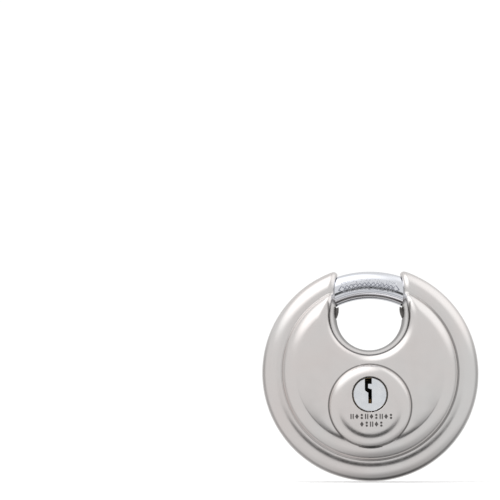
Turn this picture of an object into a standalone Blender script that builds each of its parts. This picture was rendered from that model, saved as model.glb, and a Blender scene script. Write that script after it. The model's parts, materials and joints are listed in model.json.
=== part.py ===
"""Disc padlock: two pressed steel shells, a curved shackle that turns inside their rim, and a pin cylinder that drives it.

Every piece is placed in the lock's own axes, an empty that stands the disc upright: X to the right, Y up towards
the shackle and Z forward out of the front face, with the origin at the disc's centre on the seam between the shells.
The scene's origin is the centre of the flat rear face. All lengths are in metres and all angles in radians.
"""

from math import acos, asin, atan2, cos, hypot, pi, radians, sin

import bmesh
import bpy
from mathutils import Matrix, Vector

# Driving dimensions
BODY_RADIUS = 0.0350
ROD_RADIUS = 0.0045
WALL = 0.0015
SHELL_DEPTH = 0.0118
BOSS_HEIGHT = 0.0032
BOSS_RADIUS = 0.0130
BOSS_DROP = -0.0112
PLUG_DROP = -0.0078
PLUG_RADIUS = 0.0052
THROAT_RADIUS = 0.0106
THROAT_RISE = 0.0178
THROAT_LEAN = radians(4.5)
PINCH_RISE = 0.0240

# The shells meet with half of a hairline seam on each side of the middle
SEAM = 0.00015

# The rim is a half tube round the shackle
RIM_RADIUS = 0.0065
BOW_RADIUS = BODY_RADIUS - RIM_RADIUS
FOOT_RADIUS = 0.0282
FACE_FLAT = 0.02325
FACE_ROUND = 0.0045
FACE_SLOPE = radians(73.3)
BOSS_FLAT = 0.0080
THROAT_DRAFT = 0.19
LIP_RADIUS = 0.0026
TUNNEL_RADIUS = ROD_RADIUS + 0.0004
PLUG_HOLE_RADIUS = PLUG_RADIUS + 0.00045

# Turning the shackle
OPEN_ANGLE = radians(58.0)
TIP_ANGLE = radians(123.0)
TAIL_ANGLE = radians(-73.0)
LEVER_REACH = 0.0158
STUD_RADIUS = 0.0025
SLOT_RADIUS = STUD_RADIUS + 0.00035
NOTCH_ANGLE = OPEN_ANGLE / 2
LEVER_ANGLE = NOTCH_ANGLE + asin(-PLUG_DROP / LEVER_REACH * sin(NOTCH_ANGLE))

# Cylinder and its pins
BORE_RADIUS = PLUG_RADIUS + 0.00012
PLUG_NECK_RADIUS = 0.0045
PLUG_FACE = SHELL_DEPTH + BOSS_HEIGHT - 0.0002
PLUG_SHOULDER = -0.0002
PLUG_BACK = -0.0018
TANG = Vector((0.0058, 0.0034))
TANG_BACK = -0.0069
PIN_COUNT = 4
PIN_PITCH = 0.0026
PIN_RADIUS = 0.0010
CHAMBER_RADIUS = 0.00115
KEY_PIN_LENGTHS = (0.0046, 0.0036, 0.0042, 0.0032)
DRIVER_LENGTH = 0.0038
BIBLE_BOTTOM = -0.0217
BIBLE_WIDTH = 0.0064
COVER_THICKNESS = 0.0009

# Layers from front to back
PLATE_FRONT = SHELL_DEPTH + BOSS_HEIGHT - WALL - 0.0009
PLATE_THICKNESS = 0.0011
FLANGE_FRONT = PLATE_FRONT - PLATE_THICKNESS - 0.0003
FLANGE_THICKNESS = 0.0020
FLANGE_RADIUS = 0.0108
GUIDE_FRONT = FLANGE_FRONT - FLANGE_THICKNESS - 0.0003
GUIDE_BACK = -0.0044
GUIDE_RADIUS = 0.0235
HOUSING_RADIUS = 0.0076
HOUSING_BACK = -0.0014
FIRST_PIN = FLANGE_FRONT - 0.0019
COVER_FRONT = FLANGE_FRONT - 0.0008
LEVER_FRONT = -0.0049
LEVER_THICKNESS = 0.0020
WASHER_FRONT = LEVER_FRONT - LEVER_THICKNESS - 0.0003
WASHER_THICKNESS = 0.0005
SCREW_SPREAD = 0.0089
SCREW_HOLE_RADIUS = 0.00105
GAP = 0.0003

# Guide pads beside the throat, whose rounded noses show just under the shackle
PAD_NOSE_RADIUS = 0.0060
PAD_NOSE_CENTRE = Vector((0.0159, 0.0207))
PAD_INSIDE = 0.0139
PAD_TOP_RADIUS = 0.0235
PAD_HALF_DEPTH = 0.0015

ROUND = 48
MEDIUM_ROUND = 32
SMALL_ROUND = 20
PIN_SIDES = 12

STEEL = (0.62, 0.60, 0.58)
CHROME = (0.78, 0.80, 0.83)
BRASS = (0.72, 0.55, 0.28)
ZINC = (0.48, 0.49, 0.51)
SPRING_STEEL = (0.55, 0.55, 0.57)


def clear_scene():
    """Empties the scene that the script runs in."""
    for obj in list(bpy.data.objects):
        bpy.data.objects.remove(obj)


def new_collection(name):
    """A collection linked to the scene."""
    collection = bpy.data.collections.new(name)
    bpy.context.scene.collection.children.link(collection)
    return collection


def metal(name, colour, roughness):
    """A metallic Principled material."""
    material = bpy.data.materials.new(name)
    material.use_nodes = True
    shader = material.node_tree.nodes["Principled BSDF"]
    shader.inputs["Base Color"].default_value = (*colour, 1.0)
    shader.inputs["Roughness"].default_value = roughness
    shader.inputs["Metallic"].default_value = 1.0
    return material


def place(name, data, location=(0, 0, 0), rotation=(0, 0, 0)):
    """Adds an object in the lock's axes."""
    obj = bpy.data.objects.new(name, data)
    CUTTERS.objects.link(obj)
    obj.parent = AXES
    obj.location = location
    obj.rotation_euler = rotation
    obj.hide_render = True
    obj.display_type = "WIRE"
    return obj


def finish_part(obj, material):
    """Turns a shape into a visible part of the padlock."""
    CUTTERS.objects.unlink(obj)
    PADLOCK.objects.link(obj)
    obj.hide_render = False
    obj.display_type = "TEXTURED"
    obj.data.materials.clear()
    obj.data.materials.append(material)
    if obj.type == "MESH":
        obj.data.shade_smooth()
        obj.data.set_sharp_from_angle(angle=radians(30))
    return obj


def boolean(target, operation, *others):
    """Adds one Boolean modifier for each other shape."""
    for other in others:
        modifier = target.modifiers.new(f"{operation} {other.name}", "BOOLEAN")
        modifier.operation = operation
        modifier.solver = "EXACT"
        modifier.object = other
    return target


def baked(obj):
    """Replaces a curve, or an object with modifiers, by the mesh that it makes."""
    bpy.context.view_layer.update()
    graph = bpy.context.evaluated_depsgraph_get()
    mesh = bpy.data.meshes.new_from_object(obj.evaluated_get(graph))
    work = bmesh.new()
    work.from_mesh(mesh)
    bmesh.ops.remove_doubles(work, verts=work.verts, dist=1e-6)
    work.to_mesh(mesh)
    work.free()
    name, location, rotation = obj.name, obj.location.copy(), obj.rotation_euler.copy()
    bpy.data.objects.remove(obj)
    return place(name, mesh, location, rotation)


def from_bmesh(name, work, **where):
    """An object from a bmesh, with its faces turned outwards."""
    bmesh.ops.recalc_face_normals(work, faces=work.faces)
    mesh = bpy.data.meshes.new(name)
    work.to_mesh(mesh)
    work.free()
    return place(name, mesh, **where)


def cylinder(name, radius, back, front, sides=SMALL_ROUND, tip_radius=None, **where):
    """A cylinder, or a cone, about the forward axis."""
    work = bmesh.new()
    bmesh.ops.create_cone(
        work,
        cap_ends=True,
        segments=sides,
        radius1=radius,
        radius2=radius if tip_radius is None else tip_radius,
        depth=front - back,
        matrix=Matrix.Translation((0, 0, (front + back) / 2)),
    )
    return from_bmesh(name, work, **where)


def upright(name, radius, low, high, forward, sides=PIN_SIDES, tip_radius=None):
    """A cylinder, or a cone that narrows upwards, about an upright axis in the middle of the lock."""
    height = high - low
    obj = cylinder(name, radius, -height / 2, height / 2, sides, tip_radius)
    obj.rotation_euler = (-pi / 2, 0, 0)
    obj.location = (0, (low + high) / 2, forward)
    return obj


def box(name, low, high):
    """A box between two corners."""
    low, high = Vector(low), Vector(high)
    work = bmesh.new()
    scale = Matrix.Diagonal((*(high - low), 1.0))
    bmesh.ops.create_cube(work, size=1.0, matrix=Matrix.Translation((low + high) / 2) @ scale)
    return from_bmesh(name, work)


def arc(centre, radius, start, end, steps):
    """Points along an arc, both ends included."""
    turns = [start + (end - start) * i / steps for i in range(steps + 1)]
    return [Vector((centre[0] + radius * cos(a), centre[1] + radius * sin(a))) for a in turns]


def turned(name, profile, sides=ROUND, location=(0, 0, 0)):
    """A solid of revolution about the forward axis. The profile runs from the front end of the axis to the back end."""
    mesh = bpy.data.meshes.new(name)
    edges = [(i, i + 1) for i in range(len(profile) - 1)]
    mesh.from_pydata([(p[0], 0.0, p[1]) for p in profile], edges, [])
    obj = place(name, mesh, location)
    screw = obj.modifiers.new("turn", "SCREW")
    screw.steps = screw.render_steps = sides
    screw.use_merge_vertices = True
    screw.merge_threshold = 1e-6
    return baked(obj)


def flat_plate(name, outlines, back, front, location=(0, 0, 0)):
    """A plate cut to an outline, with any further outlines as holes in it."""
    curve = bpy.data.curves.new(name, "CURVE")
    curve.dimensions = "2D"
    curve.fill_mode = "BOTH"
    curve.extrude = (front - back) / 2
    for outline in outlines:
        spline = curve.splines.new("POLY")
        spline.points.add(len(outline) - 1)
        for point, place_at in zip(spline.points, outline):
            point.co = (place_at[0], place_at[1], 0.0, 1.0)
        spline.use_cyclic_u = True
    obj = place(name, curve, (location[0], location[1], location[2] + (front + back) / 2))
    return baked(obj)


def wire(name, points, radius, bevel_resolution):
    """A round bar along a run of points."""
    curve = bpy.data.curves.new(name, "CURVE")
    curve.dimensions = "3D"
    curve.bevel_depth = radius
    curve.bevel_resolution = bevel_resolution
    curve.use_fill_caps = True
    spline = curve.splines.new("POLY")
    spline.points.add(len(points) - 1)
    for point, place_at in zip(spline.points, points):
        point.co = (*place_at, 1.0)
    return baked(place(name, curve))


def throat_outline(radius):
    """The U shape of the throat: its sides lean in up to the shackle, then go straight up past the rim."""
    top = BODY_RADIUS + 0.004
    sweep = arc((0, THROAT_RISE), radius, THROAT_LEAN, -pi - THROAT_LEAN, 22)
    pinch = (radius - (PINCH_RISE - THROAT_RISE) * sin(THROAT_LEAN)) / cos(THROAT_LEAN)
    right = [Vector((pinch, top)), Vector((pinch, PINCH_RISE))]
    left = [Vector((-pinch, PINCH_RISE)), Vector((-pinch, top))]
    return [*right, *sweep, *left]


def throat_sections(offset):
    """Radius and depth of the throat from behind the seam to in front of the face, with its rounded lip."""
    lip_start = SHELL_DEPTH - LIP_RADIUS
    wall_radius = THROAT_RADIUS + THROAT_DRAFT * lip_start
    turns = [radians(a) for a in (30, 60, 90)]
    lip = [
        (wall_radius + LIP_RADIUS * (1 - cos(a)), lip_start + LIP_RADIUS * sin(a))
        for a in turns
    ]
    sections = [
        (THROAT_RADIUS, -0.001),
        (THROAT_RADIUS, 0.0),
        (wall_radius, lip_start),
        *lip,
        (wall_radius + LIP_RADIUS, SHELL_DEPTH + BOSS_HEIGHT + 0.002),
    ]
    return [(radius + offset, depth) for radius, depth in sections]


def throat(name, offset=0.0):
    """The space of the throat as a solid: U-shaped sections joined one to the next, each wider than the one behind."""
    work = bmesh.new()
    rings = []
    for radius, depth in throat_sections(offset):
        rings.append([work.verts.new((p.x, p.y, depth)) for p in throat_outline(radius)])
    for lower, upper in zip(rings, rings[1:]):
        for i in range(len(lower)):
            j = (i + 1) % len(lower)
            work.faces.new((lower[i], lower[j], upper[j], upper[i]))
    work.faces.new(rings[0])
    work.faces.new(rings[-1])
    return from_bmesh(name, work)


def face_bend(radius, steps):
    """The bend from the flat face down to its sloping edge."""
    return arc((FACE_FLAT, SHELL_DEPTH - FACE_ROUND), radius, pi / 2, pi / 2 - FACE_SLOPE, steps)


def shell_outside():
    """Half profile of a shell's outer surface, from the middle of the face to the seam."""
    foot_depth = (RIM_RADIUS**2 - (BOW_RADIUS - FOOT_RADIUS) ** 2) ** 0.5
    foot_angle = atan2(foot_depth, FOOT_RADIUS - BOW_RADIUS)
    return [
        Vector((0.0, SHELL_DEPTH)),
        *face_bend(FACE_ROUND, 5),
        *arc((BOW_RADIUS, 0), RIM_RADIUS, foot_angle, asin(SEAM / RIM_RADIUS), 7),
        Vector((0.0, SEAM)),
    ]


def shell_inside():
    """Half profile of the space inside a shell, one wall thickness in, carried past the seam."""
    bend = face_bend(FACE_ROUND - WALL, 4)
    along = Vector((cos(FACE_SLOPE), -sin(FACE_SLOPE)))
    tube = RIM_RADIUS - WALL
    corner = bend[-1]
    while hypot(corner.x - BOW_RADIUS, corner.y) > tube:
        corner = corner + along * 1e-5
    corner_angle = atan2(corner.y, corner.x - BOW_RADIUS)
    return [
        Vector((0.0, SHELL_DEPTH - WALL)),
        *bend,
        *arc((BOW_RADIUS, 0), tube, corner_angle, 0, 6),
        Vector((BOW_RADIUS + tube, -0.001)),
        Vector((0.0, -0.001)),
    ]


def boss_profile(offset, base):
    """Half profile of the round boss, a flat top that falls to its foot as a quarter ellipse, or of the room in it."""
    width, height = BOSS_RADIUS - BOSS_FLAT - offset, BOSS_HEIGHT - offset
    turns = [radians(a) for a in (0, 12, 24, 36, 48, 60, 72, 82, 90)]
    edge = [Vector((BOSS_FLAT + width * sin(a), SHELL_DEPTH + height * cos(a))) for a in turns]
    return [Vector((0.0, SHELL_DEPTH + height)), *edge, Vector((edge[-1].x, base)), Vector((0.0, base))]


def shackle_tunnel():
    """The way that the shackle takes through the ends of the rim."""
    turns = [radians(a) for a in range(130, 49, -5)]
    points = [(BOW_RADIUS * cos(a), BOW_RADIUS * sin(a), 0.0) for a in turns]
    return wire("tunnel", points, TUNNEL_RADIUS, 6)


def pad_outline(side, clearance):
    """A guide pad seen from the front: a round nose, a top that follows the shackle, and a straight back."""
    radius = PAD_NOSE_RADIUS + clearance
    top = PAD_TOP_RADIUS + clearance
    inside = PAD_INSIDE + clearance
    reach = PAD_NOSE_CENTRE.length
    spread = acos((reach**2 + radius**2 - top**2) / (2 * reach * radius))
    nose_start = atan2(PAD_NOSE_CENTRE.y, PAD_NOSE_CENTRE.x) + pi - spread
    nose = arc(PAD_NOSE_CENTRE, radius, nose_start, radians(212), 8)
    back_corner = Vector((inside, nose[-1].y))
    over = arc((0, 0), top, acos(inside / top), atan2(nose[0].y, nose[0].x), 4)[:-1]
    outline = [*nose, back_corner, *over]
    return [Vector((side * point.x, point.y)) for point in outline]


def shell(name, tunnel, boss):
    """One pressed half of the case, with the throat pressed into its edge."""
    outside = turned(name, shell_outside())
    inside = turned(f"{name} space", shell_inside())
    if boss:
        at = (0, BOSS_DROP, 0)
        dome = boss_profile(0.0, SHELL_DEPTH - WALL / 2)
        room = boss_profile(WALL, 0.005)
        boolean(outside, "UNION", turned(f"{name} boss", dome, MEDIUM_ROUND, at))
        boolean(inside, "UNION", turned(f"{name} boss space", room, MEDIUM_ROUND, at))
    boolean(inside, "DIFFERENCE", throat(f"{name} throat wall", WALL))
    inside = baked(inside)
    boolean(outside, "DIFFERENCE", inside, throat(f"{name} throat"), tunnel)
    for side in (-1, 1):
        depth = PAD_HALF_DEPTH + GAP
        window = flat_plate(f"{name} pad window {side}", [pad_outline(side, GAP)], -depth, depth)
        boolean(outside, "DIFFERENCE", window)
    if boss:
        hole = cylinder("plug hole", PLUG_HOLE_RADIUS, 0.012, 0.017, MEDIUM_ROUND, location=(0, PLUG_DROP, 0))
        boolean(outside, "DIFFERENCE", hole)
    return outside


def build_shells():
    """The front and rear shells."""
    tunnel = shackle_tunnel()
    front = finish_part(baked(shell("front_shell", tunnel, True)), MATERIALS["steel"])
    rear = baked(shell("rear_shell", tunnel, False))
    rear.rotation_euler = (0, pi, 0)
    finish_part(rear, MATERIALS["steel"])
    return front, rear


def build_guide_pads():
    """The two pads that the shackle slides on beside the throat."""
    for name, side in (("guide_pad_left", -1), ("guide_pad_right", 1)):
        pad = flat_plate(name, [pad_outline(side, 0.0)], -PAD_HALF_DEPTH, PAD_HALF_DEPTH)
        finish_part(pad, MATERIALS["hard"])


def build_shackle():
    """The curved shackle, with a chamfered tip and tail and the slot that the lever's stud turns it by."""
    steps = 34
    turns = [TIP_ANGLE + (TAIL_ANGLE - TIP_ANGLE) * i / steps for i in range(steps + 1)]
    points = [(BOW_RADIUS * cos(a), BOW_RADIUS * sin(a), 0.0) for a in turns]
    rod = wire("shackle", points, ROD_RADIUS, 6)
    bevel_ends(rod, 0.0008)
    notch = Vector((sin(NOTCH_ANGLE), -cos(NOTCH_ANGLE)))
    across = Vector((notch.y, -notch.x)) * SLOT_RADIUS
    end_angle = atan2(notch.y, notch.x)
    slot_end = arc(notch * 0.02375, SLOT_RADIUS, end_angle - pi / 2, end_angle + pi / 2, 8)
    mouth = [notch * 0.018 - across, notch * 0.018 + across]
    outline = [*slot_end, *mouth]
    boolean(rod, "DIFFERENCE", flat_plate("stud slot", [outline], -0.006, 0.006))
    return finish_part(baked(rod), MATERIALS["chrome"])


def bevel_ends(obj, width):
    """Chamfers the rims of a bar's two flat ends."""
    work = bmesh.new()
    work.from_mesh(obj.data)
    ends = sorted(work.faces, key=lambda face: len(face.verts))[-2:]
    rims = list({edge for face in ends for edge in face.edges})
    bmesh.ops.bevel(work, geom=rims, offset=width, segments=1, affect="EDGES")
    work.to_mesh(obj.data)
    work.free()


def build_drill_plate():
    """The hardened disc behind the boss, with a hole for the plug."""
    back = PLATE_FRONT - PLATE_THICKNESS
    plate = cylinder("drill_plate", 0.0101, back, PLATE_FRONT, MEDIUM_ROUND, location=(0, BOSS_DROP, 0))
    hole = cylinder("drill plate hole", PLUG_RADIUS + 0.0002, 0.010, 0.016, 40, location=(0, PLUG_DROP, 0))
    return finish_part(baked(boolean(plate, "DIFFERENCE", hole)), MATERIALS["hard"])


def pin_places():
    """How far forward each pin stack is."""
    return [FIRST_PIN - PIN_PITCH * i for i in range(PIN_COUNT)]


def build_housing():
    """The cylinder's housing: a flange, a round barrel and the block under it that holds the pin chambers."""
    flange_back = FLANGE_FRONT - FLANGE_THICKNESS
    body = cylinder("cylinder_housing", FLANGE_RADIUS, flange_back, FLANGE_FRONT, MEDIUM_ROUND)
    body.location = (0, BOSS_DROP, 0)
    at_plug = (0, PLUG_DROP, 0)
    barrel = cylinder("barrel", HOUSING_RADIUS, HOUSING_BACK, FLANGE_FRONT - 0.0002, MEDIUM_ROUND, location=at_plug)
    half = BIBLE_WIDTH / 2
    block = box("bible", (-half, BIBLE_BOTTOM, 0.0), (half, PLUG_DROP - 0.004, FLANGE_FRONT - 0.0004))
    boolean(body, "UNION", barrel, block)
    body = baked(body)
    wide = cylinder("bore", BORE_RADIUS, PLUG_SHOULDER - 0.0001, 0.02, 40, location=at_plug)
    narrow = cylinder("neck bore", PLUG_NECK_RADIUS + 0.00015, -0.01, 0.01, MEDIUM_ROUND, location=at_plug)
    boolean(body, "DIFFERENCE", wide, narrow)
    for number, forward in enumerate(pin_places(), 1):
        hole = upright(f"chamber {number}", CHAMBER_RADIUS, BIBLE_BOTTOM - 0.001, PLUG_DROP - 0.004, forward)
        boolean(body, "DIFFERENCE", hole)
    groove_top = BIBLE_BOTTOM + COVER_THICKNESS + GAP
    groove = box("cover groove", (-0.0019, BIBLE_BOTTOM - 0.001, -0.001), (0.0019, groove_top, COVER_FRONT + GAP))
    boolean(body, "DIFFERENCE", groove)
    for side in (-1, 1):
        at = (side * SCREW_SPREAD, BOSS_DROP, 0)
        shank = cylinder(f"flange hole {side}", SCREW_HOLE_RADIUS, 0.0, 0.02, 16, location=at)
        head = cylinder(f"flange counterbore {side}", 0.0018, FLANGE_FRONT - 0.0013, 0.02, 20, location=at)
        boolean(body, "DIFFERENCE", shank, head)
    return finish_part(baked(body), MATERIALS["brass"])


def keyway_outline():
    """The stepped slot for the key, relative to the plug's axis, open at the top."""
    left, middle, right = -0.0016, -0.00055, 0.0006
    return [
        Vector((left, 0.007)),
        Vector((left, 0.0013)),
        Vector((middle, 0.0005)),
        Vector((middle, -0.0028)),
        Vector((right, -0.0028)),
        Vector((right, 0.0016)),
        Vector((middle, 0.0020)),
        Vector((middle, 0.0033)),
        Vector((right, 0.0033)),
        Vector((right, 0.007)),
    ]


def build_plug():
    """The plug that the key turns, with its keyway, pin holes, neck and tang."""
    edge = 0.00015
    profile = [
        (0.0, PLUG_FACE),
        (PLUG_RADIUS - edge, PLUG_FACE),
        (PLUG_RADIUS, PLUG_FACE - edge),
        (PLUG_RADIUS, PLUG_SHOULDER + 0.0001),
        (PLUG_NECK_RADIUS, PLUG_SHOULDER + 0.0001),
        (PLUG_NECK_RADIUS, PLUG_BACK),
        (0.0, PLUG_BACK),
    ]
    plug = turned("plug", profile, 72, (0, PLUG_DROP, 0))
    turn = Matrix.Rotation(LEVER_ANGLE, 4, "Z")
    tang = box("tang", (-TANG.y / 2, -TANG.x / 2, TANG_BACK), (TANG.y / 2, TANG.x / 2, PLUG_BACK + 0.0006))
    tang.data.transform(turn)
    tang.location = (0, PLUG_DROP, 0)
    boolean(plug, "UNION", tang)
    plug = baked(plug)
    keyway = flat_plate("keyway", [keyway_outline()], 0.0012, 0.018, (0, PLUG_DROP, 0))
    boolean(plug, "DIFFERENCE", keyway)
    for number, forward in enumerate(pin_places(), 1):
        low, high = PLUG_DROP - PLUG_RADIUS - 0.001, PLUG_DROP + 0.0014
        boolean(plug, "DIFFERENCE", upright(f"plug hole {number}", CHAMBER_RADIUS, low, high, forward))
    screw_hole = cylinder("tang hole", 0.00125, -0.01, -0.0023, 16, location=(0, PLUG_DROP, 0))
    boolean(plug, "DIFFERENCE", screw_hole)
    return finish_part(baked(plug), MATERIALS["chrome"])


def build_pins():
    """Four pin stacks under the plug: key pin, driver pin and spring, each at the line that the right key brings it to."""
    shear = PLUG_DROP - PLUG_RADIUS
    driver_top = PLUG_DROP - BORE_RADIUS - 0.00005
    spring_bottom = BIBLE_BOTTOM + COVER_THICKNESS + 2 * GAP
    for number, forward in enumerate(pin_places(), 1):
        build_key_pin(f"key_pin_{number}", shear + 0.00005, KEY_PIN_LENGTHS[number - 1], forward)
        driver = upright(f"driver_pin_{number}", PIN_RADIUS, driver_top - DRIVER_LENGTH, driver_top, forward)
        finish_part(driver, MATERIALS["brass"])
        build_spring(f"pin_spring_{number}", spring_bottom, driver_top - DRIVER_LENGTH - 0.0001, forward)


def build_key_pin(name, low, length, forward):
    """A key pin: a cylinder whose upper end narrows to a blunt point."""
    point = 0.0007
    body = upright(name, PIN_RADIUS, low, low + length - point, forward)
    work = bmesh.new()
    work.from_mesh(body.data)
    end = max(work.faces, key=lambda face: face.calc_center_median().z)
    moved = bmesh.ops.extrude_face_region(work, geom=[end])["geom"]
    tip = [item for item in moved if isinstance(item, bmesh.types.BMVert)]
    bmesh.ops.delete(work, geom=[end], context="FACES_ONLY")
    bmesh.ops.translate(work, verts=tip, vec=(0, 0, point))
    for vert in tip:
        vert.co.xy *= 0.45
    work.to_mesh(body.data)
    work.free()
    return finish_part(body, MATERIALS["brass"])


def build_spring(name, low, high, forward):
    """A small coil spring standing in its chamber."""
    wire_radius, coil_radius, turns, steps = 0.00014, 0.00078, 4, 8
    low, high = low + wire_radius, high - wire_radius
    points = []
    for i in range(turns * steps + 1):
        angle = 2 * pi * i / steps
        height = low + (high - low) * i / (turns * steps)
        points.append((coil_radius * cos(angle), height, forward + coil_radius * sin(angle)))
    return finish_part(wire(name, points, wire_radius, 1), MATERIALS["spring"])


def build_cover():
    """The strip that closes the pin chambers from below."""
    low = BIBLE_BOTTOM + 0.00005
    strip = box("chamber_cover", (-0.0016, low, 0.0003), (0.0016, low + COVER_THICKNESS, COVER_FRONT))
    return finish_part(strip, MATERIALS["brass"])


def build_guide_body():
    """The cast block between the shells that the shackle slides round, shaped round the throat and the cylinder."""
    body = cylinder("guide_body", GUIDE_RADIUS, GUIDE_BACK, GUIDE_FRONT, ROUND)
    clearance = THROAT_RADIUS + THROAT_DRAFT * GUIDE_FRONT + WALL + 0.0006
    boolean(body, "DIFFERENCE", flat_plate("throat room", [throat_outline(clearance)], -0.01, 0.015))
    barrel_room = cylinder("barrel room", HOUSING_RADIUS + GAP, -0.01, 0.015, MEDIUM_ROUND, location=(0, PLUG_DROP, 0))
    half = BIBLE_WIDTH / 2 + GAP
    bible_room = box("bible room", (-half, -0.03, -0.01), (half, PLUG_DROP, 0.015))
    spread = LEVER_ANGLE + radians(13)
    sector = arc((0, 0), LEVER_REACH + 0.012, -pi / 2 - spread, -pi / 2 + spread, 12)
    sweep = flat_plate("stud sweep", [[Vector((0, 0)), *sector]], -0.01, -0.0001, (0, PLUG_DROP, 0))
    boolean(body, "DIFFERENCE", barrel_room, bible_room, sweep)
    for side in (-1, 1):
        at = (side * SCREW_SPREAD, BOSS_DROP, 0)
        boolean(body, "DIFFERENCE", cylinder(f"guide hole {side}", SCREW_HOLE_RADIUS, 0.004, 0.015, 16, location=at))
    return finish_part(baked(body), MATERIALS["zinc"])


def build_housing_screws():
    """The two screws that hold the cylinder's flange to the guide body."""
    for name, side in (("housing_screw_left", -1), ("housing_screw_right", 1)):
        top = FLANGE_FRONT - 0.0001
        profile = [
            (0.0, top),
            (0.0012, top),
            (0.0015, top - 0.0003),
            (0.0015, top - 0.0010),
            (0.00075, top - 0.0010),
            (0.00075, 0.0050),
            (0.0, 0.0045),
        ]
        screw = turned(name, profile, 16, (side * SCREW_SPREAD, BOSS_DROP, 0))
        slot = box(f"{name} slot", (-0.002, -0.0002, top - 0.0005), (0.002, 0.0002, top + 0.001))
        slot.location = screw.location
        finish_part(baked(boolean(screw, "DIFFERENCE", slot)), MATERIALS["hard"])


def lever_outline(hub_radius, tip_radius, reach):
    """A round hub and a smaller round tip joined by their common tangents, with the tip towards -Y."""
    lean = asin((hub_radius - tip_radius) / reach)
    hub = arc((0, 0), hub_radius, lean, pi - lean, 18)
    tip = arc((0, -reach), tip_radius, pi - lean + 2 * lean, 2 * pi + lean - 2 * lean, 8)
    return [*hub, *tip]


def build_lever():
    """The lever on the plug's tang, whose stud sits in the shackle's slot."""
    back = LEVER_FRONT - LEVER_THICKNESS
    hub_radius = 0.0050
    outline = lever_outline(hub_radius, STUD_RADIUS - 0.0001, LEVER_REACH)
    plate = flat_plate("cam_lever", [outline], back, LEVER_FRONT)
    stud = cylinder("stud", STUD_RADIUS, back + 0.0005, -0.0004, 28, location=(0, -LEVER_REACH, 0))
    boolean(plate, "UNION", stud)
    hole = box("tang window", (-TANG.y / 2 - GAP, -TANG.x / 2 - GAP, -0.01), (TANG.y / 2 + GAP, TANG.x / 2 + GAP, -0.004))
    lever = baked(boolean(plate, "DIFFERENCE", hole))
    lever.data.transform(Matrix.Rotation(LEVER_ANGLE, 4, "Z") @ Matrix.Translation(lever.location))
    lever.location = (0, PLUG_DROP, 0)
    return finish_part(lever, MATERIALS["hard"])


def build_lever_fastening():
    """The washer and screw that keep the lever on the tang."""
    at = (0, PLUG_DROP, 0)
    back = WASHER_FRONT - WASHER_THICKNESS
    washer = cylinder("lever_washer", 0.0038, back, WASHER_FRONT, 28, location=at)
    hole = cylinder("washer hole", 0.00135, -0.012, 0.0, 16, location=at)
    finish_part(baked(boolean(washer, "DIFFERENCE", hole)), MATERIALS["hard"])
    head_front = back - GAP
    head_back = head_front - 0.0013
    profile = [
        (0.0, -0.0026),
        (0.00095, -0.0026),
        (0.00095, head_front),
        (0.0024, head_front),
        (0.0024, head_back + 0.0004),
        (0.0020, head_back),
        (0.0, head_back),
    ]
    screw = turned("lever_screw", profile, 24, at)
    slot = box("lever screw slot", (-0.003, -0.00025, head_back - 0.001), (0.003, 0.00025, head_back + 0.0006))
    slot.location = at
    finish_part(baked(boolean(screw, "DIFFERENCE", slot)), MATERIALS["hard"])


clear_scene()
PADLOCK = new_collection("disc padlock")
CUTTERS = new_collection("cutters")
AXES = bpy.data.objects.new("lock axes", None)
PADLOCK.objects.link(AXES)
AXES.location = (0, -SHELL_DEPTH, 0)
AXES.rotation_euler = (pi / 2, 0, 0)
MATERIALS = {
    "steel": metal("stainless steel", STEEL, 0.32),
    "chrome": metal("plated steel", CHROME, 0.16),
    "hard": metal("hardened steel", SPRING_STEEL, 0.45),
    "brass": metal("brass", BRASS, 0.35),
    "zinc": metal("cast zinc", ZINC, 0.55),
    "spring": metal("spring steel", SPRING_STEEL, 0.30),
}
build_shells()
build_guide_pads()
build_shackle()
build_drill_plate()
build_housing()
build_plug()
build_pins()
build_cover()
build_guide_body()
build_housing_screws()
build_lever()
build_lever_fastening()
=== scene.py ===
"""Looks for the disc padlock: fine shells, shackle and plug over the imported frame, with a studio round them.

Shapes are worked out in millimetres in the lock's own axes: X to the right, Y up towards the shackle and Z forward
out of the keyed face, from the disc's centre on the seam between the shells.
"""

import json
from math import atan, cos, hypot, pi, radians, sin, sqrt, tan

import bmesh
import bpy
import numpy as np
from mathutils import Matrix, Vector
from mathutils.geometry import delaunay_2d_cdt


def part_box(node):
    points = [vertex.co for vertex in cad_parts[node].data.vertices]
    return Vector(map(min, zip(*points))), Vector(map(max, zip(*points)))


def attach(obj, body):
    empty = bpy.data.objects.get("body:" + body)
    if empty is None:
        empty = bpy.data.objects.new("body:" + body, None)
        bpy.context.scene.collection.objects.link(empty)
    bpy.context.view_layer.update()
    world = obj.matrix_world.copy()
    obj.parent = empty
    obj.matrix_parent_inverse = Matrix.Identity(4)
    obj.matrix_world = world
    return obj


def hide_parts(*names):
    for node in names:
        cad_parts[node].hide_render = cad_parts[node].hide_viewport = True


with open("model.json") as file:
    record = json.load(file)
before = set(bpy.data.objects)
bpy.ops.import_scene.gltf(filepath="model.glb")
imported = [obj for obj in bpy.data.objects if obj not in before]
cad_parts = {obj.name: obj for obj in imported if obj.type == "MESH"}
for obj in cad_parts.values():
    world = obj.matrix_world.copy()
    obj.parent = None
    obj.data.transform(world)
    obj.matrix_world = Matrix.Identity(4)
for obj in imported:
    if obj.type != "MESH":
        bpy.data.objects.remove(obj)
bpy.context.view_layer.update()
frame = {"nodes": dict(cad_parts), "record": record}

MM = 0.001
FRONT_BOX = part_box("front_shell")
REAR_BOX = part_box("rear_shell")
PLUG_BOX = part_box("plug")

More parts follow.
